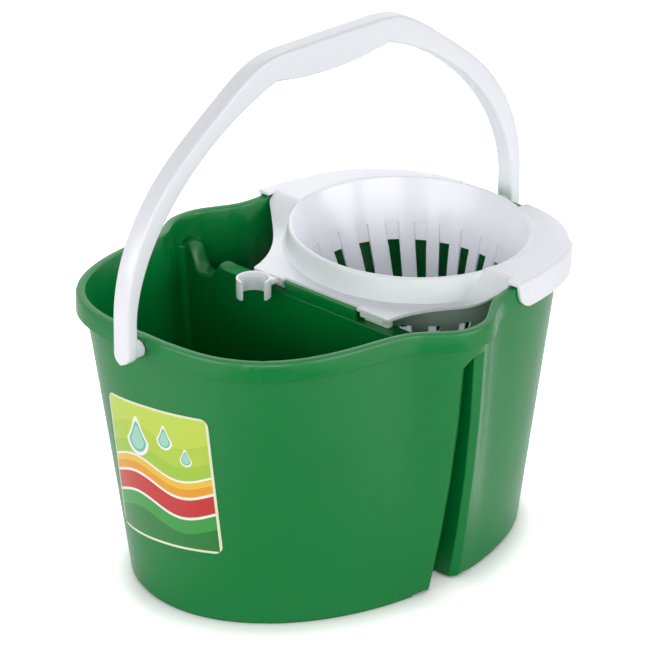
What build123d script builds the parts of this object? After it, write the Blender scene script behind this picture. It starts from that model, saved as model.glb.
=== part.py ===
from build123d import *
from math import acos, copysign, cos, exp, hypot, pi, radians, sin, sqrt, tan
import os

# Driving dimensions in millimetres: X along the bucket, Y across it, Z up

# Rim: inner edge in plan, its bulge and its dip beside the divider
RIM_A = 192.8
RIM_B = 136.4
RIM_POWER = 3.18
BULGE = 24.8
BULGE_WIDTH = 34.8
DIP = 5.2
DIP_WIDTH = 59.5
SOFT_POWER = 2.48
RIM_HEIGHT = 241.7
RIM_THICK = 2.7
BAND_OUT = 7.8
BAND_FLARE = 0.4
BAND_DEPTH = 15.8
BAND_THICK = 2.2

# Wall, floor and foot
BASE_A = 178.8
BASE_B = 131.3
BASE_POWER = 2.06
WALL = 2.5
WALL_BOW = 6.5
WALL_LEVELS = [50, 100, 150, 200]
FOOT_HEIGHT = 2.0
FOOT_INSET = 2.4
FOOT_WIDTH = 3.0
FOOT_GAP = 32.0
FLOOR_TOP = FOOT_HEIGHT + WALL
WALL_FOOT = 6.0

# Divider: a fold of the wall, open below and at both long sides
SLOT_BASE = 11.0
SLOT_TOP = 5.0
SLOT_TOP_Z = 214.0
MOUTH_BASE = 18.8
MOUTH_TOP = 17.5
MOUTH_DEPTH = 5.5
RIDGE_Z = 204.7
NOTCH_Y = 133.0
NOTCH_DEPTH = 14.0
NOTCH_WIDTH = 13.0
CREST_RISE = 8.0
KEY_HALF = 37.0
KEY_TOP = 211.6

# Handle: an arch that turns on two pegs along X
PIVOT_Z = 232.0
LEG_LOW = PIVOT_Z - 14
ARCH_Z = 250.0
ARCH_OUT_A = 221.5
ARCH_OUT_B = 185.0
ARCH_IN_A = 210.0
ARCH_IN_B = 165.0
SHOULDER_OUT = (7.0, 92.0, 28.0)
SHOULDER_IN = (6.0, 55.0, 35.0)
GRIP_HALF = 62.0
GRIP_SAG = 5.5
HANDLE_HALF = 8.5
HANDLE_ROUND = 2.5
HUB_R = 7.0
PEG_R = 5.0
PEG_FIT = 0.05
BOSS_R = 9.2
BOSS_ROOT = RIM_A + 0.4
BOSS_FACE = RIM_A + BAND_OUT + 1.0
HOLE_END = RIM_A + 3.0
HUB_FACE = BOSS_FACE + 0.6
PEG_TIP = HOLE_END + 0.6

# Wringer: an oval basket under a collar that leans towards the divider
RING_X = 97.1
RING_Z = 244.8
RING_RX = 86.1
RING_RY = 105.6
RING_LEAN = 4.69
LIP = 3.4
COLLAR_SLOPE = 0.31
COLLAR_BOTTOM = 23.0
COLLAR_WALL = 2.5
HOLLOW_TOP = 5.0
BASKET_DEPTH = 132.0
BASKET_SLOPE = tan(radians(18.5))
BASKET_WALL = 3.0
SLOT_COUNT = 22
SLOT_START = 50.0
SLOT_END = 122.0
SLOT_WIDE = 9.5
SLOT_NARROW = 5.0
GROOVE_START = 37.0
GROOVE_DEPTH = 1.2
FLOOR_SLOT = 5.0
FLOOR_PITCH = 10.0
FLOOR_SLOTS_EACH_SIDE = 2

# Wringer's flange, feet, ears and clip
FLANGE_TOP = 19.6
FLANGE_THICK = 3.0
FLANGE_FRONT = -12.0
FLANGE_FLAT = 47.0
FLANGE_SPAN = 50.5
FLANGE_POWER = 3.2
FLANGE_HALF = 131.0
FOOT_IN = 40.0
FOOT_OUT = 70.0
FOOT_FRONT = -10.5
FOOT_BACK = 5.0
REST_GAP = 0.4
WRINGER_CLEAR = 1.0
EAR_X = 72.2
EAR_GAP = 28.0
EAR_OUT = BAND_OUT + 0.4
EAR_THICK = 2.3
EAR_WALL = 2.7
HOOD_OUT = BAND_OUT + 3.2
HOOD_IN = BAND_OUT + BAND_FLARE + 0.4
HOOD_START = 84.0
HOOD_STOP = 158.0
HOOD_LOW = 217.5
HOOD_ROUND = 9.0
CLIP_X = -27.0
CLIP_Y = 55.0
CLIP_R = 14.5
CLIP_BORE = 12.0
CLIP_LOW = 204.0
CLIP_HIGH = 220.0
CLIP_OPEN = 45.0
CLIP_NECK = 6.0

# Label on the end wall
LABEL_HALF = 57.0
LABEL_LOW = 64.0
LABEL_HIGH = 184.0
LABEL_ROUND = 7.0
LABEL_GAP = 0.1
LABEL_THICK = 0.4

# Each closed plan curve is a ring of splines that meet away from the pivots and the divider
TINY = 0.002
CUTS = [-37, 37, 70, 110, 143, 217, 250, 290, 323]
SPANS = [10, 6, 10, 6, 10, 6, 10, 6]
ARCS = [(radians(first), radians(last), spans) for first, last, spans in zip(CUTS, CUTS[1:], SPANS)]


# Plan curves as functions of the polar angle
def oval(a, b, power, angle):
    reach = (abs(cos(angle) / a) ** power + abs(sin(angle) / b) ** power) ** (-1 / power)
    return reach * cos(angle), reach * sin(angle)


def rim_plan(angle):
    x, y = oval(RIM_A, RIM_B, RIM_POWER, angle)
    swell = BULGE * exp(-abs(x / BULGE_WIDTH) ** SOFT_POWER) * abs(sin(angle))
    return x, y + copysign(swell, y)


def base_plan(angle):
    return oval(BASE_A, BASE_B, BASE_POWER, angle)


def moved_out(plan, distance, angle):
    x0, y0 = plan(angle - TINY)
    x1, y1 = plan(angle + TINY)
    x, y = plan(angle)
    length = hypot(x1 - x0, y1 - y0)
    return x + distance * (y1 - y0) / length, y - distance * (x1 - x0) / length


def wall_plan(height, distance, angle):
    share = height / RIM_HEIGHT
    bx, by = moved_out(base_plan, distance, angle)
    tx, ty = moved_out(rim_plan, distance + WALL, angle)
    x = bx + share * (tx - bx)
    y = by + share * (ty - by)
    bow = 4 * share * (1 - share) * WALL_BOW * exp(-abs(x / BULGE_WIDTH) ** SOFT_POWER) * abs(sin(angle))
    return x, y + copysign(bow, y)


def rim_height(x):
    return RIM_HEIGHT - DIP * exp(-abs(x / DIP_WIDTH) ** SOFT_POWER)


# Rings, and skins that rule from ring to ring
def ring(plan, height):
    def spot(angle):
        x, y = plan(angle)
        return Vector(x, y, height(x) if callable(height) else height)

    edges = []
    for first, last, spans in ARCS:
        angles = [first + (last - first) * i / spans for i in range(spans + 1)]
        ends = [spot(angle + TINY) - spot(angle - TINY) for angle in (first, last)]
        edges.append(Edge.make_spline([spot(angle) for angle in angles], tangents=ends))
    return Wire(edges)


def stack(rows):
    return Part([Solid.make_loft([ring(plan, height) for plan, height in rows], ruled=True)])


def wall_row(height, distance):
    return (lambda angle: wall_plan(height, distance, angle)), height


def base_row(height, distance):
    return (lambda angle: moved_out(base_plan, distance, angle)), height


def rim_row(distance, drop):
    return (lambda angle: moved_out(rim_plan, distance, angle)), (lambda x: rim_height(x) - drop)


def level_row(distance, height):
    return (lambda angle: moved_out(rim_plan, distance, angle)), height


def basket_row(grow, height):
    return (lambda angle: oval(RING_RX + grow, RING_RY + grow, 2, angle)), height


# Round bars along X, and boxes by their limits
def bar(radius, x0, x1, y, z):
    low, high = sorted((x0, x1))
    return Plane((low, y, z), x_dir=(0, 1, 0), z_dir=(1, 0, 0)) * extrude(Circle(radius), amount=high - low)


def block(x0, x1, y0, y1, z0, z1):
    x_low, x_high = sorted((x0, x1))
    y_low, y_high = sorted((y0, y1))
    centre = ((x_low + x_high) / 2, (y_low + y_high) / 2, (z0 + z1) / 2)
    return Pos(*centre) * Box(x_high - x_low, y_high - y_low, z1 - z0)


# Divider: everything under the ridge line, and the tapered slot with flared mouths
def ridge_height(y):
    notch = NOTCH_DEPTH * exp(-((abs(y) - NOTCH_Y) / NOTCH_WIDTH) ** 4)
    rise = CREST_RISE / (1 + exp(-(abs(y) - NOTCH_Y - 12) / 3))
    return RIDGE_Z - notch + rise


def ridge_slab(drop):
    half = 200
    low = -20
    ys = [-half + 5 * i for i in range(2 * half // 5 + 1)]
    top = Edge.make_spline([Vector(0, y, ridge_height(y) - drop) for y in ys])
    corner_a = Vector(0, -half, low)
    corner_b = Vector(0, half, low)
    lines = [Edge.make_line(top @ 1, corner_b), Edge.make_line(corner_b, corner_a)]
    lines.append(Edge.make_line(corner_a, top @ 0))
    return extrude(Face(Wire([top] + lines)), amount=60, dir=(1, 0, 0), both=True)


def slot_wire(height, grow):
    share = height / SLOT_TOP_Z
    half = SLOT_BASE + share * (SLOT_TOP - SLOT_BASE)
    flare = MOUTH_BASE + share * (MOUTH_TOP - MOUTH_BASE) - half
    wall_y = wall_plan(max(height, 0), 0, pi / 2)[1]
    reach = 12
    shoulder = wall_y - MOUTH_DEPTH - grow * 0.5
    far = half + flare * (wall_y + reach - shoulder) / MOUTH_DEPTH + grow
    half += grow
    right = [(far, -wall_y - reach), (half, -shoulder), (half, shoulder), (far, wall_y + reach)]
    left = [(-x, -y) for x, y in right]
    return Wire.make_polygon([Vector(x, y, height) for x, y in right + left], close=True)


def slot_solid(grow):
    levels = [-5, 0] + WALL_LEVELS + [SLOT_TOP_Z]
    return Part([Solid.make_loft([slot_wire(level, grow) for level in levels], ruled=True)])


# Bucket body
def make_skin():
    rows = [wall_row(FOOT_HEIGHT, -1.8), wall_row(2.5, -0.7), wall_row(3.6, -0.15), wall_row(WALL_FOOT, 0)]
    rows += [wall_row(level, 0) for level in WALL_LEVELS]
    rows += [rim_row(WALL, RIM_THICK), rim_row(BAND_OUT - BAND_THICK, RIM_THICK)]
    rows += [rim_row(BAND_OUT - BAND_THICK + BAND_FLARE, BAND_DEPTH), rim_row(BAND_OUT + BAND_FLARE, BAND_DEPTH)]
    rows += [rim_row(BAND_OUT, 2.4), rim_row(BAND_OUT - 0.7, 0.7), rim_row(BAND_OUT - 2.4, 0)]
    rows += [rim_row(2.2, 0), rim_row(0.6, 0.6), rim_row(0, 2.2)]
    rows += [wall_row(level, -WALL) for level in reversed(WALL_LEVELS)]
    rows += [wall_row(8.0, -WALL), wall_row(5.4, -WALL - 1.2), wall_row(FLOOR_TOP, -WALL - 3.4)]
    return stack(rows)


def make_foot():
    foot = stack([base_row(0, -FOOT_INSET), base_row(FOOT_HEIGHT + 1.2, -FOOT_INSET)])
    core = -FOOT_INSET - FOOT_WIDTH
    foot -= stack([base_row(-1, core), base_row(FOOT_HEIGHT + 2, core)])
    return foot - block(-FOOT_GAP, FOOT_GAP, -200, 200, -1, FOOT_HEIGHT + 2)


def make_fold():
    levels = [FOOT_HEIGHT, WALL_FOOT] + WALL_LEVELS + [RIM_HEIGHT - 10]
    within = [wall_row(level, -1.2) for level in levels]
    fold = slot_solid(WALL) & ridge_slab(0) & stack(within)
    return fold + block(-SLOT_TOP, SLOT_TOP, -KEY_HALF, KEY_HALF, RIDGE_Z - 1, KEY_TOP)


def make_bucket():
    body = make_skin()
    body += [bar(BOSS_R, side * BOSS_ROOT, side * BOSS_FACE, 0, PIVOT_Z) for side in (-1, 1)]
    body -= [bar(PEG_R + PEG_FIT, side * HOLE_END, side * 230, 0, PIVOT_Z) for side in (-1, 1)]
    body += make_foot()
    body += make_fold()
    return body - (slot_solid(0) & ridge_slab(WALL))


# Handle: side profiles across its width, drawn in at both faces to round the edges
def arch_spot(a, b, shoulder, turn, y):
    lift, centre, width = shoulder
    x = a * cos(turn)
    swell = lift * exp(-((abs(x) - centre) / width) ** 2)
    return Vector(x, y, ARCH_Z + b * sin(turn) + swell)


def handle_wire(y, inset):
    def spots(a, b, shoulder, first, last, spans):
        return [arch_spot(a, b, shoulder, first + (last - first) * i / spans, y) for i in range(spans + 1)]

    def flip(points):
        return [Vector(-spot.X, spot.Y, spot.Z) for spot in points]

    up = Vector(0, 0, 1)
    inward = Vector(-1, 0, 0)
    in_a = ARCH_IN_A + inset
    in_b = ARCH_IN_B + inset
    last = acos(GRIP_HALF / in_a)
    outer = spots(ARCH_OUT_A - inset, ARCH_OUT_B - inset, SHOULDER_OUT, 0, pi / 2, 12)
    inner = spots(in_a, in_b, SHOULDER_IN, 0, last, 8)
    along = inner[-1] - arch_spot(in_a, in_b, SHOULDER_IN, last - TINY, y)
    edges = [
        Edge.make_spline(outer, tangents=[up, inward]),
        Edge.make_spline(flip(outer), tangents=[up, -inward]),
        Edge.make_spline(inner, tangents=[up, along]),
        Edge.make_spline(flip(inner), tangents=[up, Vector(-along.X, 0, along.Z)]),
    ]
    belly = Vector(0, y, inner[-1].Z - GRIP_SAG)
    edges.append(Edge.make_three_point_arc(inner[-1], belly, Vector(-inner[-1].X, y, inner[-1].Z)))
    for out_end, in_end in ((outer[0], inner[0]), (flip(outer)[0], flip(inner)[0])):
        out_low = Vector(out_end.X, y, LEG_LOW)
        in_low = Vector(in_end.X, y, LEG_LOW)
        edges += [Edge.make_line(out_end, out_low), Edge.make_line(out_low, in_low)]
        edges.append(Edge.make_line(in_low, in_end))
    return Wire(edges)


def leg_ends():
    radius = HANDLE_HALF + 0.1
    left = Vector(0, -radius, PIVOT_Z)
    right = Vector(0, radius, PIVOT_Z)
    edges = [Edge.make_three_point_arc(left, Vector(0, 0, PIVOT_Z - radius), right)]
    rise = Vector(0, 0, 260)
    edges += [Edge.make_line(right, right + rise), Edge.make_line(right + rise, left + rise)]
    edges.append(Edge.make_line(left + rise, left))
    return extrude(Face(Wire(edges)), amount=260, dir=(1, 0, 0), both=True)


def make_handle():
    face = HANDLE_HALF
    rows = [(-face, HANDLE_ROUND), (0.8 - face, 0.8), (HANDLE_ROUND - face, 0)]
    rows += [(-y, inset) for y, inset in reversed(rows)]
    handle = Part([Solid.make_loft([handle_wire(y, inset) for y, inset in rows], ruled=True)])
    handle &= leg_ends()
    for side in (-1, 1):
        handle += bar(HUB_R, side * HUB_FACE, side * (ARCH_IN_A + 1), 0, PIVOT_Z)
        handle += bar(PEG_R, side * PEG_TIP, side * (ARCH_IN_A + 1), 0, PIVOT_Z)
    return handle


# Wringer: basket and collar in the ring's own frame, top edge at zero
def basket_cut(start, stop, wide, narrow):
    near = 30
    far = 135
    top_left = Vector(near, -wide / 2, -start)
    top_right = Vector(near, wide / 2, -start)
    low_left = Vector(near, -narrow / 2, -stop)
    low_right = Vector(near, narrow / 2, -stop)
    edges = [
        Edge.make_three_point_arc(top_left, Vector(near, 0, -start + wide / 3), top_right),
        Edge.make_line(top_right, low_right),
        Edge.make_line(low_right, low_left),
        Edge.make_line(low_left, top_left),
    ]
    return extrude(Face(Wire(edges)), amount=far - near, dir=(1, 0, 0))


def round_the_basket(cutter):
    pitch = 360 / SLOT_COUNT
    return [Rot(0, 0, (i + 0.5) * pitch) * cutter for i in range(SLOT_COUNT)]


def make_basket():
    slope = BASKET_SLOPE
    floor = BASKET_DEPTH - BASKET_WALL
    collar_foot = LIP + COLLAR_SLOPE * COLLAR_BOTTOM
    collar_root = LIP + COLLAR_SLOPE * HOLLOW_TOP - COLLAR_WALL
    rows = [basket_row(BASKET_WALL - slope * BASKET_DEPTH, -BASKET_DEPTH)]
    rows += [basket_row(BASKET_WALL - slope * HOLLOW_TOP, -HOLLOW_TOP), basket_row(collar_root, -HOLLOW_TOP)]
    rows += [basket_row(collar_foot - COLLAR_WALL, -COLLAR_BOTTOM), basket_row(collar_foot, -COLLAR_BOTTOM)]
    rows += [basket_row(LIP + 0.5, -1.6), basket_row(LIP - 0.3, -0.5), basket_row(LIP - 1.4, 0)]
    rows += [basket_row(1.0, 0), basket_row(0.2, -0.5), basket_row(-1.6 * slope, -1.6)]
    rows += [basket_row(-slope * floor, -floor)]
    basket = stack(rows)
    groove = basket_cut(GROOVE_START, SLOT_START + 4, SLOT_WIDE + 2, SLOT_WIDE)
    bed = stack([basket_row(GROOVE_DEPTH, 0), basket_row(GROOVE_DEPTH - slope * floor, -floor)])
    basket -= [cut & bed for cut in round_the_basket(groove)]
    basket -= round_the_basket(basket_cut(SLOT_START, SLOT_END, SLOT_WIDE, SLOT_NARROW))
    floor_ry = RING_RY - slope * BASKET_DEPTH
    cuts = []
    for i in range(-FLOOR_SLOTS_EACH_SIDE, FLOOR_SLOTS_EACH_SIDE + 1):
        x = i * FLOOR_PITCH
        half = 0.72 * floor_ry * sqrt(1 - (i / (FLOOR_SLOTS_EACH_SIDE + 1.5)) ** 2)
        cuts.append(block(x - FLOOR_SLOT / 2, x + FLOOR_SLOT / 2, -half, half, -BASKET_DEPTH - 1, -floor + 1))
    return basket - cuts


def collar_core(distance, low, high):
    rows = []
    for height in (low, high):
        rows.append(basket_row(LIP - COLLAR_SLOPE * height - distance, height))
    return stack(rows)


def make_flange():
    def edge_x(y):
        past = max(abs(y) - FLANGE_FLAT, 0) / FLANGE_SPAN
        return EAR_X + EAR_WALL - (EAR_X + EAR_WALL - FLANGE_FRONT) * exp(-past ** FLANGE_POWER) - RING_X

    count = 40
    ys = [-FLANGE_HALF + 2 * FLANGE_HALF * i / count for i in range(count + 1)]
    edge = Edge.make_spline([Vector(edge_x(y), y, -FLANGE_TOP) for y in ys])
    back = Edge.make_line(edge @ 1, edge @ 0)
    plate = extrude(Face(Wire([edge, back])), amount=FLANGE_THICK, dir=(0, 0, -1))
    return plate - collar_core(COLLAR_WALL / 2, -COLLAR_BOTTOM - 5, 5)


def make_ears(lean):
    low = RIM_HEIGHT + REST_GAP
    high = low + EAR_THICK
    plate = stack([level_row(EAR_OUT, low), level_row(EAR_OUT, high)])
    hood = stack([level_row(HOOD_OUT, HOOD_LOW - 5), level_row(HOOD_OUT, high)])
    hood -= stack([level_row(HOOD_IN, HOOD_LOW - 10), level_row(HOOD_IN, low)])
    width = HOOD_STOP - HOOD_START
    tall = 60
    tongue = RectangleRounded(width, tall, HOOD_ROUND)
    centre = Vector((HOOD_START + HOOD_STOP) / 2, 0, HOOD_LOW + tall / 2)
    frame = Plane(centre, x_dir=(1, 0, 0), z_dir=(0, -1, 0))
    hood &= frame * extrude(tongue, amount=220, both=True)
    ears = plate & block(EAR_X, 260, -220, 220, low - 1, high + 1)
    ears += hood
    for side in (-1, 1):
        ears += block(EAR_X, EAR_X + EAR_WALL, side * 95, side * FLANGE_HALF, 220.5, low + 1)
    ears -= block(RING_X, 260, -EAR_GAP, EAR_GAP, low - 5, high + 5)
    return ears - lean * collar_core(COLLAR_WALL / 2, -40, 30)


def make_clip():
    clip = extrude(Circle(CLIP_R) - Circle(CLIP_BORE), amount=CLIP_HIGH - CLIP_LOW)
    reach = 30
    side = reach * tan(radians(CLIP_OPEN))
    gap = Wire.make_polygon([Vector(0, 0, -1), Vector(reach, side, -1), Vector(reach, -side, -1)], close=True)
    clip -= Rot(0, 0, 225) * extrude(Face(gap), amount=CLIP_HIGH - CLIP_LOW + 2, dir=(0, 0, 1))
    return Pos(CLIP_X, CLIP_Y, CLIP_LOW) * clip


def make_wringer():
    lean = Pos(RING_X, 0, RING_Z) * Rot(0, -RING_LEAN, 0)
    room = [wall_row(level, -WALL - WRINGER_CLEAR) for level in [WALL_FOOT] + WALL_LEVELS]
    room.append(level_row(-WRINGER_CLEAR, RIM_HEIGHT))
    room.append(level_row(-WRINGER_CLEAR, RIM_HEIGHT + 20))
    wringer = lean * (make_basket() + make_flange()) & stack(room)
    wringer += make_ears(lean)
    for side in (-1, 1):
        low = RIDGE_Z + REST_GAP
        wringer += block(FOOT_FRONT, FOOT_BACK, side * FOOT_IN, side * FOOT_OUT, low, low + 9.8)
    neck_root = CLIP_X + (CLIP_R + CLIP_BORE) / 2 - 1.0
    wringer += make_clip()
    neck = block(neck_root, FLANGE_FRONT + 4, CLIP_Y - CLIP_NECK, CLIP_Y + CLIP_NECK, 211.8, 216.2)
    return wringer + neck


# Label
def make_label():
    levels = [WALL_FOOT] + WALL_LEVELS
    core = stack([wall_row(level, LABEL_GAP) for level in levels])
    sheet = stack([wall_row(level, LABEL_GAP + LABEL_THICK) for level in levels]) - core
    frame = Plane((0, 0, (LABEL_LOW + LABEL_HIGH) / 2), x_dir=(0, -1, 0), z_dir=(-1, 0, 0))
    shape = RectangleRounded(2 * LABEL_HALF, LABEL_HIGH - LABEL_LOW, LABEL_ROUND)
    return sheet & frame * extrude(shape, amount=250)


os.makedirs("parts", exist_ok=True)
export_step(make_bucket(), "parts/bucket_body.step")
export_step(make_wringer(), "parts/wringer.step")
export_step(make_handle(), "parts/bail_handle.step")
export_step(make_label(), "parts/label.step")
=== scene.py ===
import bpy
from math import atan2, copysign, cos, degrees, exp, hypot, pi, radians, sin, sqrt, tan
from mathutils import Matrix, Vector


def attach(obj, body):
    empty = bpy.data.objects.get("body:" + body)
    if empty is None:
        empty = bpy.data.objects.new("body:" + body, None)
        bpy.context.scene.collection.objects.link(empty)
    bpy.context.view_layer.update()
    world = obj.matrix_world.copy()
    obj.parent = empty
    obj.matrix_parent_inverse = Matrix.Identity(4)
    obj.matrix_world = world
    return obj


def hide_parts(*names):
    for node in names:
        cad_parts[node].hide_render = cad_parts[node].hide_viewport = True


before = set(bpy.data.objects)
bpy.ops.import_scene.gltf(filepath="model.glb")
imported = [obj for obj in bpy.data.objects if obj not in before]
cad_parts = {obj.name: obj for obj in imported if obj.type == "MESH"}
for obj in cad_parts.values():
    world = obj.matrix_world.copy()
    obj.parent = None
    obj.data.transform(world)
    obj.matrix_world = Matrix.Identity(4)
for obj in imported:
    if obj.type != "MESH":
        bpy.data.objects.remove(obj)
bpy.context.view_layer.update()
scene = bpy.context.scene
scene.view_settings.view_transform = "Standard"

# Sizes in millimetres: X along the bucket, Y across it, Z up
MM = 0.001

# Bucket's rim in plan, and the waves that its wall must not have: place and width in degrees, height
RIM_A = 192.8
RIM_B = 136.4
RIM_POWER = 3.18
BULGE = 24.8
BULGE_WIDTH = 34.8
SOFT_POWER = 2.48
RIM_HEIGHT = 241.7
WALL_WAVES = [(19.0, 2.2, 0.4), (26.9, 2.6, -1.0), (32.1, 2.0, 1.5)]
WAVE_GROWTH = 1.15
WALL_INNERMOST = 120.0
BASE_A = 178.8
BASE_B = 131.3
BASE_POWER = 2.06
WALL = 2.5
WALL_BOW = 6.5
ARCH_SPAN = (-17.6, 9.0)
ARCH_RISE = (186.0, 25.0)
ARCH_TOP = 213.5
ARCH_SUNK = 0.15

# Divider: its ridge dips into a notch beside each long wall and rises to a crest at the wall
RIDGE_Z = 204.7
NOTCH_Y = 133.0
NOTCH_DEPTH = 14.0
NOTCH_WIDTH = 13.0
CREST_RISE = 8.0
CREST_Y = 145.0
CREST_WIDTH = 3.0
FOLD_HALF = 13.4
FOLD_SLOPE = 6.0 / 214.0
CROWN_SPAN = (108.0, 158.5)
CROWN_RISE = 4.5
CROWN_RUN_IN = 0.2
CROWN_SUNK = 0.2
CROWN_WALL = 1.0
KEY_X = (-7.4, -3.6)
KEY_HALF = 40.0
KEY_Z = (203.0, 215.0)
KEY_EDGE = 0.9

# Wringer's ring leans towards the divider, and its basket tapers below it
RING_X = 97.1
RING_Z = 244.8
RING_RX = 86.1
RING_RY = 105.6
RING_LEAN = radians(4.69)
LIP = 2.6
COLLAR_SLOPE = 0.31
COLLAR_BOTTOM = 23.0
COLLAR_WALL = 2.5
HOLLOW_TOP = 5.0
BASKET_DEPTH = 132.0
BASKET_SLOPE = tan(radians(18.5))
BASKET_WALL = 3.0
BASKET_CLEAR = 2.0
COLLAR_EDGE = 0.6
LIP_OUTSIDE = [(0.8, -2.6), (0.35, -1.2), (-0.5, -0.3), (-1.3, 0)]
LIP_INSIDE = [(0.9, 0), (0.3, -0.3), (-0.2, -1.1)]
FLOOR_CORNER = [(5, 10), (1.6, 2.4), (-2.6, 0)]
SLOT_COUNT = 22
SLOT_TURN = radians(-2.0)
SLOT_DEPTHS = (51.5, 122.0)
SLOT_WIDTHS = (9.5, 5.0)
SLOT_REACH = (30.0, 135.0)
GROOVE_DEPTHS = (37.0, 55.5)
GROOVE_WIDTHS = (11.5, 9.5)
GROOVE_SUNK = 2.2
FLOOR_SLOT = 5.0
FLOOR_PITCH = 10.0
FLOOR_SLOTS_EACH_SIDE = 2
FLOOR_REACH = 0.72
FLOOR_TAPER = 3.5
FLOOR_CUT = 5.0

# Wringer's flange runs up a ramp on each side to the ears, which hang over the rim as hoods
FLANGE_TOP = 19.6
FLANGE_THICK = 2.6
FLANGE_FRONT = -7.4
FLANGE_SIDE = 75.5
FLANGE_FLARE = 57.0
FLANGE_ROOT = -14.0
FLANGE_RUN = 81.0
KEY_NOTCH = (-30.0, -3.5)
KEY_NOTCH_GAP = 1.5
KEY_NOTCH_Z = (190.0, 240.0)
RAMP_START = 40.0
RAMP_STOP = 78.0
RAMP_POWER = 1.6
EAR_X = 67.0
EAR_TOP = 244.4
EAR_IN = -1.6
EAR_OUT = 8.2
EAR_GAP = 36.5
EAR_GAP_FAR = 260.0
EAR_GAP_Z = (225.0, 260.0)
EAR_THICK = 2.4
HOOD_OUT = 11.0
HOOD_START = 68.0
HOOD_STOP = 158.0
HOOD_LOW = 221.3
HOOD_ROUND = 17.0
HOOD_TAIL = 4.0
HOOD_BEND = [(-2.4, 0), (-1.1, 0.35), (-0.35, 1.1), (0, 2.4)]
HOOD_STEPS = 6
HOOD_LAP = 0.1
FEET_Y = (44.0, 70.0)
FOOT_X = (-6.5, 5.0)
FOOT_Z = (209.6, 215.6)
STEP_X = (-1.0, 5.0)
STEP_Z = (205.1, 212.0)
SMALL_EDGE = 0.8
CLIP_X = -27.0
CLIP_Y = 55.0
CLIP_R = 14.2
CLIP_BORE = 12.0
CLIP_Z = (204.0, 220.0)
CLIP_SIDE = radians(225)
CLIP_OPEN = radians(45)
NECK_LAP = 4.0
NECK_HALF = 8.0
NECK_Z = (211.8, 216.2)

# Handle: an arch on two pegs, with a grip that swells downwards. Each arch has a half width, a base height,
# a rise and two powers, and the shoulder has a lift, a place and a width.
PIVOT_Z = 232.0
ARCH_Z = 250.0
ARCH_REACH = (100.0, 300.0)
ARCH_OUT = (221.5, 256.2, 179.6, 1.75, 2.13)
ARCH_IN = (210.0, 255.0, 170.0, 1.73, 1.83)
SHOULDER = (10.2, 77.6, 40.0)
GRIP_HALF = 62.0
GRIP_SAG = 5.8
HANDLE_HALF = 8.5
HANDLE_ROUND = 2.8
HANDLE_LEAN = radians(1.2)
HUB_R = 7.0
HUB_FACE = 202.2
PEG_R = 5.0
PEG_TIP = 196.4
PEG_LAP = 1.0

# Label on the end wall, lower at its +Y edge
LABEL_CENTRE = 124.0
LABEL_HALF = 57.0
LABEL_HALF_TALL = 60.0
LABEL_MARGIN = 2.0
LABEL_DROP = 12.0
LABEL_SLANT = LABEL_DROP / (2 * LABEL_HALF)


# Colours and nodes

def linear(hex_code):
    parts = [int(hex_code[i:i + 2], 16) / 255 for i in (1, 3, 5)]
    return [v / 12.92 if v <= 0.04045 else ((v + 0.055) / 1.055) ** 2.4 for v in parts] + [1.0]


def add(tree, kind, inputs=None, **settings):
    node = tree.nodes.new("ShaderNode" + kind)
    for key, value in settings.items():
        setattr(node, key, value)
    for key, value in (inputs or {}).items():
        if isinstance(value, bpy.types.NodeSocket):
            tree.links.new(value, node.inputs[key])
        else:
            node.inputs[key].default_value = value
    return node


def start_material(name):
    material = bpy.data.materials.new(name)
    material.use_nodes = True
    tree = material.node_tree
    shader = tree.nodes["Principled BSDF"]
    return material, tree, shader


# Moulded polypropylene is dense and slightly waxy: a clean colour, a soft gloss from the polished
# mould, a faint orange-peel ripple of about 2 mm, slow drifts of gloss where the melt has flowed,
# and edges that the tool leaves with a small round that catches the light.
def moulded_polypropylene(name, colour, deep, roughness, edge):
    material, tree, shader = start_material(name)
    place = add(tree, "TexCoord").outputs["Object"]
    drift = add(tree, "TexNoise", {"Vector": place, "Scale": 1 / (60 * MM), "Detail": 2.0}).outputs["Fac"]
    tint = add(tree, "Mix", {"Factor": drift}, data_type="RGBA")
    tint.inputs["A"].default_value = linear(deep)
    tint.inputs["B"].default_value = linear(colour)
    gloss = add(tree, "MapRange", {"Value": drift, "To Min": roughness - 0.05, "To Max": roughness + 0.05})
    peel = add(tree, "TexNoise", {"Vector": place, "Scale": 1 / (2 * MM), "Detail": 1.0}).outputs["Fac"]
    rounded = add(tree, "Bevel", {"Radius": edge}, samples=6).outputs["Normal"]
    bump = add(tree, "Bump", {"Height": peel, "Normal": rounded, "Strength": 0.04, "Distance": 0.2 * MM})
    tree.links.new(tint.outputs["Result"], shader.inputs["Base Color"])
    tree.links.new(gloss.outputs["Result"], shader.inputs["Roughness"])
    tree.links.new(bump.outputs["Normal"], shader.inputs["Normal"])
    shader.inputs["IOR"].default_value = 1.49
    return material


# Printed label film is a thin glossy sheet: flat inks with crisp edges under a clear coat. The print is
# a plain wash of lime with drops of water over three waves, inside a pale margin. Each ink starts at its
# share of the label's height, and each drop has a place across and up, and a radius.
WAVE_INKS = [(0.0, "#1d7f34"), (0.17, "#38a043"), (0.27, "#fbfbef"), (0.29, "#cf2a2b"), (0.42, "#fbfbef"),
             (0.44, "#f2a31d"), (0.5, "#f7c63c"), (0.545, "#fbfbef"), (0.56, "#a8cf39"), (0.66, "#b9d640"),
             (0.8, "#c8de4c")]
WAVE_RUN = 16.0
WAVE_RISE = 6.0
DROPS = [(-20.0, 27.0, 13.5), (12.0, 34.0, 8.5), (33.0, 21.0, 6.0)]
DROP_INKS = [(1.0, "#fdfef6"), (0.78, "#6fc2a8"), (0.6, "#a5dcc6")]
DROP_PINCH = 1.1
DROP_STRETCH = -0.35
MARGIN_INK = "#eef2cf"


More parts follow.
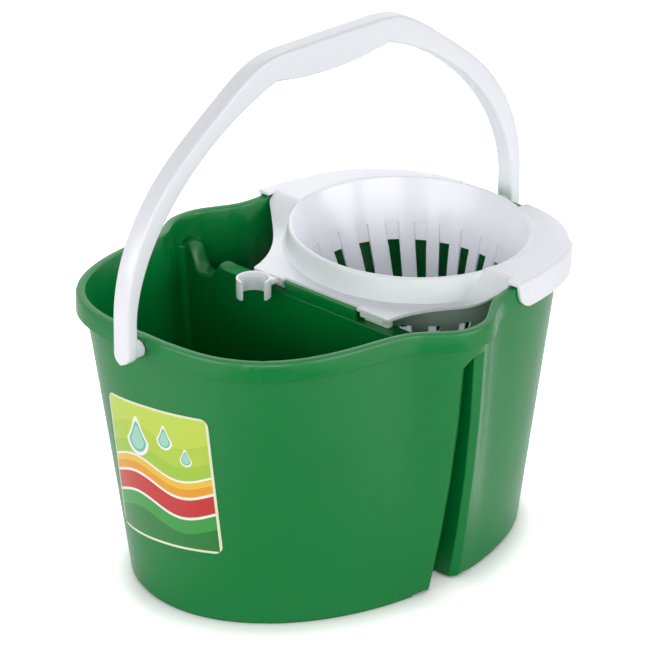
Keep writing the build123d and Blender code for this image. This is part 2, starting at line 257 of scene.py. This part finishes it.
def printed_label_film():
    material, tree, shader = start_material("printed_label_film")
    place = add(tree, "TexCoord").outputs["Object"]
    sheet = add(tree, "VectorMath", {0: place, "Scale": 1 / MM}, operation="SCALE").outputs[0]
    spot = add(tree, "SeparateXYZ", {0: sheet}).outputs
    across = add(tree, "Math", {0: spot["Y"], 1: -1.0}, operation="MULTIPLY").outputs[0]
    straight = add(tree, "Math", {0: spot["Y"], 1: LABEL_SLANT, 2: spot["Z"]}, operation="MULTIPLY_ADD")
    middle = LABEL_CENTRE - LABEL_SLANT * LABEL_HALF
    up = add(tree, "Math", {0: straight.outputs[0], 1: middle}, operation="SUBTRACT").outputs[0]
    turn = add(tree, "Math", {0: across, 1: WAVE_RUN}, operation="DIVIDE").outputs[0]
    swing = add(tree, "Math", {0: turn}, operation="SINE").outputs[0]
    wave = add(tree, "Math", {0: swing, 1: WAVE_RISE, 2: up}, operation="MULTIPLY_ADD").outputs[0]
    span = {"From Min": -LABEL_HALF_TALL, "From Max": LABEL_HALF_TALL}
    level = add(tree, "MapRange", {"Value": wave, **span}).outputs[0]
    inks = add(tree, "ValToRGB", {0: level})
    inks.color_ramp.interpolation = "CONSTANT"
    stops = inks.color_ramp.elements
    stops.remove(stops[1])
    stops[0].color = linear(WAVE_INKS[0][1])
    for start, ink in WAVE_INKS[1:]:
        stops.new(start).color = linear(ink)
    colour = inks.outputs[0]
    for drop_across, drop_up, radius in DROPS:
        aside = add(tree, "Math", {0: across, 1: drop_across}, operation="SUBTRACT").outputs[0]
        rise = add(tree, "Math", {0: up, 1: drop_up}, operation="SUBTRACT").outputs[0]
        tip = add(tree, "Math", {0: rise, 1: 0.0}, operation="MAXIMUM").outputs[0]
        taper = {0: tip, 1: DROP_PINCH / radius, 2: 1.0}
        pinch = add(tree, "Math", taper, operation="MULTIPLY_ADD").outputs[0]
        slim = add(tree, "Math", {0: aside, 1: pinch}, operation="MULTIPLY").outputs[0]
        tall = add(tree, "Math", {0: tip, 1: DROP_STRETCH, 2: rise}, operation="MULTIPLY_ADD").outputs[0]
        away = add(tree, "CombineXYZ", {0: slim, 1: tall}).outputs[0]
        reach = add(tree, "VectorMath", {0: away}, operation="LENGTH").outputs["Value"]
        for share, ink in DROP_INKS:
            inside = add(tree, "Math", {0: reach, 1: radius * share}, operation="LESS_THAN").outputs[0]
            layer = add(tree, "Mix", {"Factor": inside, "A": colour, "B": linear(ink)}, data_type="RGBA")
            colour = layer.outputs["Result"]
    wide = add(tree, "Math", {0: across}, operation="ABSOLUTE").outputs[0]
    high = add(tree, "Math", {0: up}, operation="ABSOLUTE").outputs[0]
    side = LABEL_HALF - LABEL_MARGIN
    end = LABEL_HALF_TALL - LABEL_MARGIN
    past_side = add(tree, "Math", {0: wide, 1: side}, operation="SUBTRACT").outputs[0]
    past_end = add(tree, "Math", {0: high, 1: end}, operation="SUBTRACT").outputs[0]
    beyond = add(tree, "Math", {0: past_side, 1: past_end}, operation="MAXIMUM").outputs[0]
    margin = add(tree, "Math", {0: beyond, 1: 0.0}, operation="GREATER_THAN").outputs[0]
    print_edge = {"Factor": margin, "A": colour, "B": linear(MARGIN_INK)}
    printed = add(tree, "Mix", print_edge, data_type="RGBA").outputs["Result"]
    tree.links.new(printed, shader.inputs["Base Color"])
    shader.inputs["Roughness"].default_value = 0.28
    shader.inputs["IOR"].default_value = 1.5
    shader.inputs["Coat Weight"].default_value = 0.3
    shader.inputs["Coat Roughness"].default_value = 0.12
    return material


green_plastic = moulded_polypropylene("green_polypropylene", "#00833c", "#007c38", 0.25, 2.0 * MM)
white_plastic = moulded_polypropylene("white_polypropylene", "#f8f9fe", "#f4f6fc", 0.2, 0.8 * MM)
label_film = printed_label_film()


# Modelling steps

def deselect():
    bpy.ops.object.select_all(action="DESELECT")


def start_piece(name, material):
    piece = bpy.context.object
    piece.name = name
    piece.data.name = name
    piece.data.materials.clear()
    piece.data.materials.append(material)
    return piece


def close_up(piece, outward):
    deselect()
    piece.select_set(True)
    bpy.context.view_layer.objects.active = piece
    bpy.ops.object.mode_set(mode="EDIT")
    bpy.ops.mesh.select_all(action="SELECT")
    bpy.ops.mesh.remove_doubles(threshold=0.005 * MM)
    if outward:
        bpy.ops.mesh.normals_make_consistent(inside=False)
    bpy.ops.object.mode_set(mode="OBJECT")


# A grid whose points go where spot puts each column and row
def shaped_grid(name, columns, rows, spot, material, outward):
    deselect()
    bpy.ops.mesh.primitive_grid_add(x_subdivisions=columns, y_subdivisions=rows, size=1)
    piece = start_piece(name, material)
    for point in piece.data.vertices:
        column = round((point.co.x + 0.5) * columns)
        row = round((point.co.y + 0.5) * rows)
        point.co = spot(column, row) * MM
    close_up(piece, outward)
    return piece


# A cube whose eight corners go where corner puts their signs
def shaped_cube(name, corner, material):
    deselect()
    bpy.ops.mesh.primitive_cube_add(size=2)
    piece = start_piece(name, material)
    for point in piece.data.vertices:
        point.co = Vector(corner(*[round(v) for v in point.co])) * MM
    close_up(piece, True)
    return piece


def block(name, xs, ys, zs, material, edge=0.0):
    def corner(x, y, z):
        return xs[x > 0], ys[y > 0], zs[z > 0]

    piece = shaped_cube(name, corner, material)
    if edge:
        bpy.ops.object.mode_set(mode="EDIT")
        bpy.ops.mesh.select_all(action="SELECT")
        bpy.ops.mesh.bevel(offset=edge * MM, segments=3, affect="EDGES")
        bpy.ops.object.mode_set(mode="OBJECT")
    return piece


def thicken(piece, thickness):
    wall = piece.modifiers.new("wall", "SOLIDIFY")
    wall.thickness = thickness * MM
    wall.offset = -1
    wall.use_even_offset = True
    bpy.context.view_layer.objects.active = piece
    bpy.ops.object.modifier_apply(modifier=wall.name)


def combine(piece, tool, operation):
    change = piece.modifiers.new("change", "BOOLEAN")
    change.operation = operation
    change.solver = "EXACT"
    change.object = tool
    bpy.context.view_layer.objects.active = piece
    bpy.ops.object.modifier_apply(modifier=change.name)
    bpy.data.objects.remove(tool)


def carve(piece, cutter):
    combine(piece, cutter, "DIFFERENCE")


def fuse(piece, others):
    for other in others:
        combine(piece, other, "UNION")
    return piece


def weld(pieces):
    deselect()
    for piece in pieces:
        piece.select_set(True)
    bpy.context.view_layer.objects.active = pieces[0]
    bpy.ops.object.join()
    return pieces[0]


def finish_piece(piece, body, node=None, angle=32):
    deselect()
    piece.select_set(True)
    bpy.context.view_layer.objects.active = piece
    bpy.ops.object.shade_smooth_by_angle(angle=radians(angle))
    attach(piece, body)
    if node:
        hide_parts(node)


def merged_copy(node, name, material):
    piece = bpy.data.objects.new(name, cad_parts[node].data.copy())
    scene.collection.objects.link(piece)
    piece.data.materials.clear()
    piece.data.materials.append(material)
    deselect()
    piece.select_set(True)
    bpy.context.view_layer.objects.active = piece
    bpy.ops.mesh.customdata_custom_splitnormals_clear()
    close_up(piece, False)
    return piece


# Plan curves as functions of the polar angle
def oval(a, b, power, angle):
    reach = (abs(cos(angle) / a) ** power + abs(sin(angle) / b) ** power) ** (-1 / power)
    return reach * cos(angle), reach * sin(angle)


def rim_plan(angle):
    x, y = oval(RIM_A, RIM_B, RIM_POWER, angle)
    swell = BULGE * exp(-abs(x / BULGE_WIDTH) ** SOFT_POWER) * abs(sin(angle))
    return x, y + copysign(swell, y)


def rim_moved_out(distance, angle):
    step = 0.002
    x0, y0 = rim_plan(angle - step)
    x1, y1 = rim_plan(angle + step)
    x, y = rim_plan(angle)
    length = hypot(x1 - x0, y1 - y0)
    return x + distance * (y1 - y0) / length, y - distance * (x1 - x0) / length


# Bucket: the moulded body with its wall drawn fair, arches over its slots, and the divider's key and crowns
def draw_wall_fair(piece):
    for point in piece.data.vertices:
        x, y, z = point.co / MM
        angle = degrees(atan2(y, x)) % 180
        wave = sum(height * exp(-((angle - place) / width) ** 2) for place, width, height in WALL_WAVES)
        reach = hypot(x, y)
        if z > 0 and reach > WALL_INNERMOST:
            share = 1 - wave * (z / RIM_HEIGHT) ** WAVE_GROWTH / reach
            point.co.x *= share
            point.co.y *= share


# Where a long wall's outside stands, found by stepping the polar angle until it meets x
def wall_spot(x, z, side):
    share = z / RIM_HEIGHT
    angle = side * pi / 2
    for _ in range(5):
        base_x, base_y = oval(BASE_A, BASE_B, BASE_POWER, angle)
        top_x, top_y = rim_moved_out(WALL, angle)
        bow = 4 * share * (1 - share) * WALL_BOW * exp(-abs(x / BULGE_WIDTH) ** SOFT_POWER)
        wall_x = base_x + share * (top_x - base_x)
        wall_y = base_y + share * (top_y - base_y) + side * bow
        angle += (wall_x - x) / wall_y
    return wall_y


# The slot in each long wall closes in an arch that bends over from its -X edge
def make_slot_arch(side):
    columns = 24
    rows = 6
    low, high = ARCH_SPAN
    foot, rise = ARCH_RISE

    def spot(column, row):
        along = column if side < 0 else columns - column
        x = low + (high - low) * along / columns
        edge = foot + rise * sqrt(max(1 - ((x - high) / (high - low)) ** 2, 0))
        z = edge + (ARCH_TOP - edge) * row / rows
        return Vector((x, wall_spot(x, z, side) - side * ARCH_SUNK, z))

    arch = shaped_grid("slot_arch", columns, rows, spot, green_plastic, False)
    thicken(arch, WALL)
    return arch


def ridge_height(y):
    notch = NOTCH_DEPTH * exp(-((abs(y) - NOTCH_Y) / NOTCH_WIDTH) ** 4)
    return RIDGE_Z - notch + CREST_RISE / (1 + exp(-(abs(y) - CREST_Y) / CREST_WIDTH))


# The divider's ridge is round on top where it dips beside the wall
def make_ridge_crown(side):
    columns = 16
    rows = 48
    start, end = CROWN_SPAN

    def spot(column, row):
        along = row / rows if side > 0 else 1 - row / rows
        y = side * (start + (end - start) * along)
        z = ridge_height(y)
        turn = pi * column / columns
        rise = CROWN_RISE * sin(min(along / CROWN_RUN_IN, 1) * pi / 2) * sin(turn)
        half = FOLD_HALF - FOLD_SLOPE * z
        return Vector((-half * cos(turn), y, z - CROWN_SUNK + rise))

    crown = shaped_grid("ridge_crown", columns, rows, spot, green_plastic, False)
    thicken(crown, CROWN_WALL)
    return crown


def wall_reach(angle, z):
    base = hypot(*oval(BASE_A, BASE_B, BASE_POWER, angle))
    return base + (hypot(*rim_moved_out(WALL, angle)) - base) * z / RIM_HEIGHT


# The label hangs a little askew, lower at its +Y edge, and follows the wall's taper
def hang_askew(label):
    for point in label.data.vertices:
        x, y, z = point.co / MM
        angle = atan2(y, x)
        lower = z - LABEL_SLANT * (y + LABEL_HALF)
        share = wall_reach(angle, lower) / wall_reach(angle, z)
        point.co = Vector((x * share, y * share, lower)) * MM


def make_bucket():
    shell = merged_copy("bucket_body", "bucket_shell", green_plastic)
    draw_wall_fair(shell)
    finish_piece(shell, "bucket", "bucket_body")
    arches = weld([make_slot_arch(-1), make_slot_arch(1)])
    finish_piece(arches, "bucket")
    key = block("divider_key", KEY_X, (-KEY_HALF, KEY_HALF), KEY_Z, green_plastic, KEY_EDGE)
    finish_piece(key, "bucket")
    crowns = weld([make_ridge_crown(-1), make_ridge_crown(1)])
    finish_piece(crowns, "bucket")
    label = merged_copy("label", "label_sheet", label_film)
    hang_askew(label)
    finish_piece(label, "bucket", "label")


# Wringer basket and collar: one closed profile carried round the ring
LEAN = Matrix.Translation((RING_X, 0, RING_Z)) @ Matrix.Rotation(-RING_LEAN, 4, "Y")


def inside_wall(spot):
    angle = atan2(spot.y, spot.x)
    limit = hypot(*rim_moved_out(-BASKET_CLEAR, angle))
    reach = hypot(spot.x, spot.y)
    if spot.z < RIM_HEIGHT and reach > limit:
        spot.x *= limit / reach
        spot.y *= limit / reach
    return spot


# Each row of the profile: whether it is on the ring or its axis, how far outside the ring, and its height
def basket_profile():
    slope = BASKET_SLOPE
    floor = BASKET_DEPTH - BASKET_WALL
    foot = LIP + COLLAR_SLOPE * COLLAR_BOTTOM
    root = LIP + COLLAR_SLOPE * HOLLOW_TOP - COLLAR_WALL
    rows = [(0, 0, -BASKET_DEPTH), (1, BASKET_WALL - slope * BASKET_DEPTH, -BASKET_DEPTH)]
    rows += [(1, BASKET_WALL - slope * HOLLOW_TOP, -HOLLOW_TOP), (1, root, -HOLLOW_TOP)]
    rows += [(1, foot - COLLAR_WALL, -COLLAR_BOTTOM), (1, foot - COLLAR_EDGE, -COLLAR_BOTTOM)]
    rows += [(1, foot, -COLLAR_BOTTOM + COLLAR_EDGE)]
    rows += [(1, LIP + grow, height) for grow, height in LIP_OUTSIDE]
    rows += [(1, grow, height) for grow, height in LIP_INSIDE]
    rows += [(1, -LIP * slope, -LIP)]
    rows += [(1, grow - slope * floor, height - floor) for grow, height in FLOOR_CORNER]
    rows += [(0, 0, -floor)]
    return rows


def basket_cutters(depths, widths, sunk):
    cutters = []
    for i in range(SLOT_COUNT):
        turn = (i + 0.5) * 2 * pi / SLOT_COUNT + SLOT_TURN

        def corner(out, side, up):
            depth = depths[up < 0]
            aside = side * widths[up < 0] / 2
            reach = SLOT_REACH[out > 0]
            if sunk and out > 0:
                grow = sunk - BASKET_SLOPE * depth
                reach = hypot(*oval(RING_RX + grow, RING_RY + grow, 2, turn + aside / RING_RX))
            x = reach * cos(turn) - aside * sin(turn)
            y = reach * sin(turn) + aside * cos(turn)
            return LEAN @ Vector((x, y, -depth))

        cutters.append(shaped_cube("cutter", corner, white_plastic))
    return weld(cutters)


def floor_cutters():
    floor_ry = RING_RY - BASKET_SLOPE * BASKET_DEPTH
    cutters = []
    for i in range(-FLOOR_SLOTS_EACH_SIDE, FLOOR_SLOTS_EACH_SIDE + 1):
        half = FLOOR_REACH * floor_ry * sqrt(1 - (i / FLOOR_TAPER) ** 2)

        def corner(x, y, z):
            depth = BASKET_DEPTH - BASKET_WALL / 2 - FLOOR_CUT * z
            return LEAN @ Vector((i * FLOOR_PITCH + x * FLOOR_SLOT / 2, y * half, -depth))

        cutters.append(shaped_cube("cutter", corner, white_plastic))
    return weld(cutters)


def make_basket():
    profile = basket_profile()
    columns = 8 * SLOT_COUNT

    def spot(column, row):
        reach, grow, height = profile[row]
        x, y = oval(RING_RX + grow, RING_RY + grow, 2, 2 * pi * (column % columns) / columns)
        return inside_wall(LEAN @ Vector((reach * x, reach * y, height)))

    basket = shaped_grid("wringer_basket", columns, len(profile) - 1, spot, white_plastic, True)
    carve(basket, basket_cutters(GROOVE_DEPTHS, GROOVE_WIDTHS, GROOVE_SUNK))
    carve(basket, basket_cutters(SLOT_DEPTHS, SLOT_WIDTHS, 0))
    carve(basket, floor_cutters())
    return basket


# Wringer shelf: a sheet from the collar out to the flange's edge and the rim, flat but for its ramps
def shelf_height(x):
    plane = RING_Z - FLANGE_TOP + (x - RING_X) * tan(RING_LEAN)
    share = min(max((x - RAMP_START) / (RAMP_STOP - RAMP_START), 0), 1)
    return plane + (0.5 - 0.5 * cos(pi * share ** RAMP_POWER)) * (EAR_TOP - plane)


def collar_edge(angle):
    height = -FLANGE_TOP
    for _ in range(6):
        grow = LIP - COLLAR_SLOPE * height - COLLAR_WALL / 2
        x, y = oval(RING_RX + grow, RING_RY + grow, 2, angle)
        x += RING_X - height * sin(RING_LEAN)
        height = shelf_height(x) - RING_Z - (x - RING_X) * tan(RING_LEAN)
    return x, y


def on_shelf(x, y):
    if x < FLANGE_FRONT:
        return False
    if x < EAR_X and abs(y) > FLANGE_SIDE + FLANGE_FLARE * ((x - FLANGE_ROOT) / FLANGE_RUN) ** 2:
        return False
    return hypot(x, y) < hypot(*rim_moved_out(EAR_IN, atan2(y, x)))


def shelf_edge(x, y):
    inner = 1.0
    outer = 2.0
    for _ in range(30):
        middle = (inner + outer) / 2
        if on_shelf(RING_X + (x - RING_X) * middle, y * middle):
            inner = middle
        else:
            outer = middle
    return RING_X + (x - RING_X) * inner, y * inner


def make_shelf():
    columns = 360
    rows = 14
    edges = []
    for column in range(columns):
        root = collar_edge(-2 * pi * column / columns)
        edges.append((root, shelf_edge(*root)))

    def spot(column, row):
        root, rim = edges[column % columns]
        share = row / rows
        x = root[0] + share * (rim[0] - root[0])
        y = root[1] + share * (rim[1] - root[1])
        return Vector((x, y, shelf_height(x)))

    shelf = shaped_grid("wringer_shelf", columns, rows, spot, white_plastic, False)
    thicken(shelf, FLANGE_THICK)
    notch = KEY_HALF + KEY_NOTCH_GAP
    carve(shelf, block("cutter", KEY_NOTCH, (-notch, notch), KEY_NOTCH_Z, white_plastic))
    carve(shelf, block("cutter", (RING_X, EAR_GAP_FAR), (-EAR_GAP, EAR_GAP), EAR_GAP_Z, white_plastic))
    return shelf


# Wringer hoods: the ears' outer edge turns down over the rim, in a tongue with round corners
def hood_low(x):
    inset = min(x - HOOD_START, HOOD_STOP - x)
    if inset <= 0:
        return EAR_TOP - EAR_THICK - HOOD_LAP
    past = max(HOOD_ROUND - inset, 0)
    return HOOD_LOW + HOOD_ROUND - sqrt(HOOD_ROUND ** 2 - past ** 2)


def make_hood(side):
    columns = 120
    first = atan2(side * RIM_B, EAR_X)
    last = atan2(side * EAR_GAP, RIM_A)
    start, stop = (first, last) if side > 0 else (last, first)

    def spot(column, row):
        angle = start + (stop - start) * column / columns
        x = rim_plan(angle)[0]
        tail = min(max((x - HOOD_STOP) / HOOD_TAIL, 0), 1)
        out = HOOD_OUT + tail * (EAR_OUT - HOOD_OUT)
        bent = HOOD_BEND[-1][1]
        skirt = EAR_TOP - bent - hood_low(x)
        bend = [(EAR_IN, 0), (out / 2, 0)] + [(out + more, drop) for more, drop in HOOD_BEND]
        bend += [(out, bent + skirt * step / HOOD_STEPS) for step in range(1, HOOD_STEPS + 1)]
        distance, drop = bend[row]
        place = rim_moved_out(distance, angle)
        return Vector((place[0], place[1], EAR_TOP - drop))

    rows = 1 + len(HOOD_BEND) + HOOD_STEPS
    hood = shaped_grid("wringer_hood", columns, rows, spot, white_plastic, False)
    thicken(hood, EAR_THICK)
    return hood


# Wringer clip: an open ring for a mop's pole, on a neck from the flange
def make_clip():
    deselect()
    tall = CLIP_Z[1] - CLIP_Z[0]
    size = {"radius": CLIP_R * MM, "depth": tall * MM}
    bpy.ops.mesh.primitive_cylinder_add(vertices=96, end_fill_type="NOTHING", **size)
    clip = start_piece("wringer_clip", white_plastic)
    bpy.ops.object.mode_set(mode="EDIT")
    bpy.ops.mesh.select_mode(type="FACE")
    bpy.ops.mesh.select_all(action="DESELECT")
    bpy.ops.object.mode_set(mode="OBJECT")
    for face in clip.data.polygons:
        away = atan2(face.center.y, face.center.x) - CLIP_SIDE
        face.select = abs((away + pi) % (2 * pi) - pi) < CLIP_OPEN
    bpy.ops.object.mode_set(mode="EDIT")
    bpy.ops.mesh.delete(type="FACE")
    bpy.ops.mesh.select_all(action="SELECT")
    bpy.ops.transform.translate(value=(CLIP_X * MM, CLIP_Y * MM, (CLIP_Z[0] + CLIP_Z[1]) / 2 * MM))
    bpy.ops.object.mode_set(mode="OBJECT")
    thicken(clip, CLIP_R - CLIP_BORE)
    neck_x = (CLIP_X + CLIP_BORE, FLANGE_FRONT + NECK_LAP)
    neck_y = (CLIP_Y - NECK_HALF, CLIP_Y + NECK_HALF)
    return [clip, block("neck", neck_x, neck_y, NECK_Z, white_plastic, SMALL_EDGE)]


# Wringer feet: two stepped blocks that stand on the divider's ridge
def make_feet():
    feet = []
    for side in (-1, 1):
        ys = sorted(side * y for y in FEET_Y)
        feet.append(block("foot", FOOT_X, ys, FOOT_Z, white_plastic, SMALL_EDGE))
        feet.append(block("foot_step", STEP_X, ys, STEP_Z, white_plastic, SMALL_EDGE))
    return weld(feet)


def make_wringer():
    wringer = fuse(make_basket(), [make_shelf(), make_hood(-1), make_hood(1), make_feet()] + make_clip())
    finish_piece(wringer, "wringer", "wringer")


# Handle: a rounded section carried up one leg, over the arch and down the other
def arch_height(arch, x):
    half, base, rise, first_power, last_power = arch
    return base + rise * max(1 - (abs(x) / half) ** first_power, 0) ** (1 / last_power)


def outer_height(x):
    lift, centre, width = SHOULDER
    return arch_height(ARCH_OUT, x) + lift * exp(-((abs(x) - centre) / width) ** 2)


def inner_height(x):
    if abs(x) < GRIP_HALF:
        return arch_height(ARCH_IN, GRIP_HALF) - GRIP_SAG * (1 - (x / GRIP_HALF) ** 2)
    return arch_height(ARCH_IN, x)


def arch_spot(half, height, turn):
    near, far = ARCH_REACH
    for _ in range(40):
        middle = (near + far) / 2
        x = middle * cos(turn)
        if abs(x) < half and ARCH_Z + middle * sin(turn) < height(x):
            near = middle
        else:
            far = middle
    return Vector((near * cos(turn), 0, ARCH_Z + near * sin(turn)))


def handle_stations():
    foot = []
    steps = 8
    for i in range(steps + 1):
        turn = pi / 2 * i / steps
        z = PIVOT_Z - HANDLE_HALF * cos(turn)
        foot.append((ARCH_OUT[0], ARCH_IN[0], z, HANDLE_HALF * sin(turn)))
    stations = [(Vector((out, 0, z)), Vector((within, 0, z)), half) for out, within, z, half in foot]
    turns = 180
    for i in range(turns + 1):
        turn = pi * i / turns
        outer = arch_spot(ARCH_OUT[0], outer_height, turn)
        inner = arch_spot(ARCH_IN[0], inner_height, turn)
        stations.append((outer, inner, HANDLE_HALF))
    for out, within, z, half in reversed(foot):
        stations.append((Vector((-out, 0, z)), Vector((-within, 0, z)), half))
    return stations


def make_bar(name, radius, x0, x1):
    deselect()
    bpy.ops.mesh.primitive_cylinder_add(vertices=64, radius=radius * MM, depth=abs(x1 - x0) * MM)
    bar = start_piece(name, white_plastic)
    bpy.ops.object.mode_set(mode="EDIT")
    bpy.ops.mesh.select_all(action="SELECT")
    bpy.ops.transform.rotate(value=pi / 2, orient_axis="Y", center_override=(0, 0, 0))
    bpy.ops.transform.translate(value=((x0 + x1) / 2 * MM, 0, PIVOT_Z * MM))
    bpy.ops.object.mode_set(mode="OBJECT")
    return bar


def make_handle():
    stations = handle_stations()
    corners = [(1, 1), (-1, 1), (-1, -1), (1, -1)]
    steps = 5
    rows = len(corners) * steps

    def spot(column, row):
        outer, inner, half = stations[column]
        corner, step = divmod(row % rows, steps)
        across, side = corners[corner]
        turn = pi / 2 * (corner + step / (steps - 1))
        round_off = min(HANDLE_ROUND, half)
        axis = (outer - inner).normalized()
        reach = across * ((outer - inner).length / 2 - round_off) + round_off * cos(turn)
        place = (outer + inner) / 2 + axis * reach
        place.y = side * (half - round_off) + round_off * sin(turn) - (place.z - PIVOT_Z) * tan(HANDLE_LEAN)
        return place

    pieces = [shaped_grid("handle_bail", len(stations) - 1, rows, spot, white_plastic, True)]
    for side in (-1, 1):
        root = side * (ARCH_IN[0] + PEG_LAP)
        pieces.append(make_bar("hub", HUB_R, side * HUB_FACE, root))
        pieces.append(make_bar("peg", PEG_R, side * PEG_TIP, root))
    finish_piece(weld(pieces), "handle", "bail_handle", 40)


make_bucket()
make_wringer()
make_handle()


# Floor, light and camera, in metres

ROOM_LIGHT = 0.12
FLOOR_GLOW = 0.7
CONTACT_REACH = 30 * MM
CONTACT_POWER = 1.5
CARD_SIZE = (1.5, 0.9, 1)
CARD_SPOT = (0, -1.1, 2 * MM)
CARD_TURN = radians(-38)
LAMP_AIM = (0, 0, 0.2)
WIDE_LAMP = (2.0, 0.9)
BACK_LAMP = (1.6, 1.2)


# The floor is a white sweep that shows white to the camera and keeps the object's shadow. Its glow to the
# camera carries painted contact shade, which darkens it in the thin gap where the foot meets it.
def make_floor():
    deselect()
    bpy.ops.mesh.primitive_plane_add(size=8)
    floor = bpy.context.object
    floor.name = "studio_floor"
    material, tree, shader = start_material("white_studio_sweep")
    rays = add(tree, "LightPath").outputs
    # Painted contact shade: ambient occlusion near the foot dims the floor's glow to the camera.
    painted_contact_shade = add(tree, "AmbientOcclusion", {"Distance": CONTACT_REACH}, samples=8).outputs["AO"]
    deep = add(tree, "Math", {0: painted_contact_shade, 1: CONTACT_POWER}, operation="POWER").outputs[0]
    lift = add(tree, "Math", {0: rays["Is Camera Ray"], 1: deep}, operation="MULTIPLY").outputs[0]
    glow = add(tree, "Math", {0: lift, 1: FLOOR_GLOW}, operation="MULTIPLY").outputs[0]
    shader.inputs["Base Color"].default_value = linear("#f4f4f4")
    shader.inputs["Roughness"].default_value = 0.9
    shader.inputs["Emission Color"].default_value = linear("#ffffff")
    tree.links.new(glow, shader.inputs["Emission Strength"])
    floor.data.materials.append(material)


# A dark card on the table in front of the object, which the camera doesn't see and which throws no shadow:
# the polished band and the collar mirror it as the darker patch that gives them their gloss.
def make_dark_card():
    deselect()
    bpy.ops.mesh.primitive_plane_add(size=1)
    card = bpy.context.object
    card.name = "dark_card"
    bpy.ops.object.mode_set(mode="EDIT")
    bpy.ops.mesh.select_all(action="SELECT")
    bpy.ops.transform.resize(value=CARD_SIZE)
    bpy.ops.transform.translate(value=CARD_SPOT)
    bpy.ops.object.mode_set(mode="OBJECT")
    card.rotation_euler = (0, 0, CARD_TURN)
    card.visible_camera = False
    card.visible_shadow = False
    material, tree, shader = start_material("black_card")
    shader.inputs["Base Color"].default_value = linear("#202020")
    shader.inputs["Roughness"].default_value = 0.9
    card.data.materials.append(material)


def make_world():
    world = bpy.data.worlds.new("studio")
    world.use_nodes = True
    scene.world = world
    tree = world.node_tree
    background = tree.nodes["Background"]
    rays = add(tree, "LightPath").outputs
    bent = {0: rays["Is Glossy Ray"], 1: rays["Is Transmission Ray"]}
    mirrored = add(tree, "Math", bent, operation="ADD")
    shown = add(tree, "Math", {0: rays["Is Camera Ray"], 1: mirrored.outputs[0]}, operation="ADD")
    level = add(tree, "MapRange", {"Value": shown.outputs[0], "To Min": ROOM_LIGHT})
    tree.links.new(level.outputs["Result"], background.inputs["Strength"])
    background.inputs["Color"].default_value = linear("#ffffff")


def make_lamp(name, spot, size, watts, mirrored=True):
    data = bpy.data.lights.new(name, "AREA")
    data.shape = "RECTANGLE"
    data.size, data.size_y = size
    data.energy = watts
    lamp = bpy.data.objects.new(name, data)
    scene.collection.objects.link(lamp)
    lamp.location = spot
    lamp.rotation_euler = (Vector(LAMP_AIM) - Vector(spot)).to_track_quat("-Z", "Y").to_euler()
    lamp.visible_glossy = mirrored


def make_camera():
    aim = Vector((0, 0, 0.192))
    distance = 3.072
    azimuth = radians(-45.0185)
    elevation = radians(23.7796)
    roll = radians(-0.345)
    back = Vector((sin(azimuth) * cos(elevation), -cos(azimuth) * cos(elevation), sin(elevation)))
    level = Vector((cos(azimuth), sin(azimuth), 0))
    rise = back.cross(level)
    right = level * cos(roll) + rise * sin(roll)
    up = rise * cos(roll) - level * sin(roll)
    data = bpy.data.cameras.new("photo_camera")
    data.lens = 212.36
    data.sensor_width = 36
    data.shift_x = -0.00144
    data.shift_y = -0.00923
    data.clip_end = 50
    camera = bpy.data.objects.new("photo_camera", data)
    scene.collection.objects.link(camera)
    turn = Matrix((right, up, back)).transposed().to_4x4()
    camera.matrix_world = Matrix.Translation(aim + back * distance) @ turn
    scene.camera = camera


make_floor()
make_dark_card()
make_world()
make_lamp("front_softbox", (-1.7, -1.7, 0.9), WIDE_LAMP, 19)
make_lamp("left_softbox", (-2.1, 0.5, 0.75), WIDE_LAMP, 20)
make_lamp("right_softbox", (0.6, -2.1, 0.75), WIDE_LAMP, 21)
make_lamp("back_softbox", (1.2, 1.2, 1.5), BACK_LAMP, 42, mirrored=False)
make_camera()
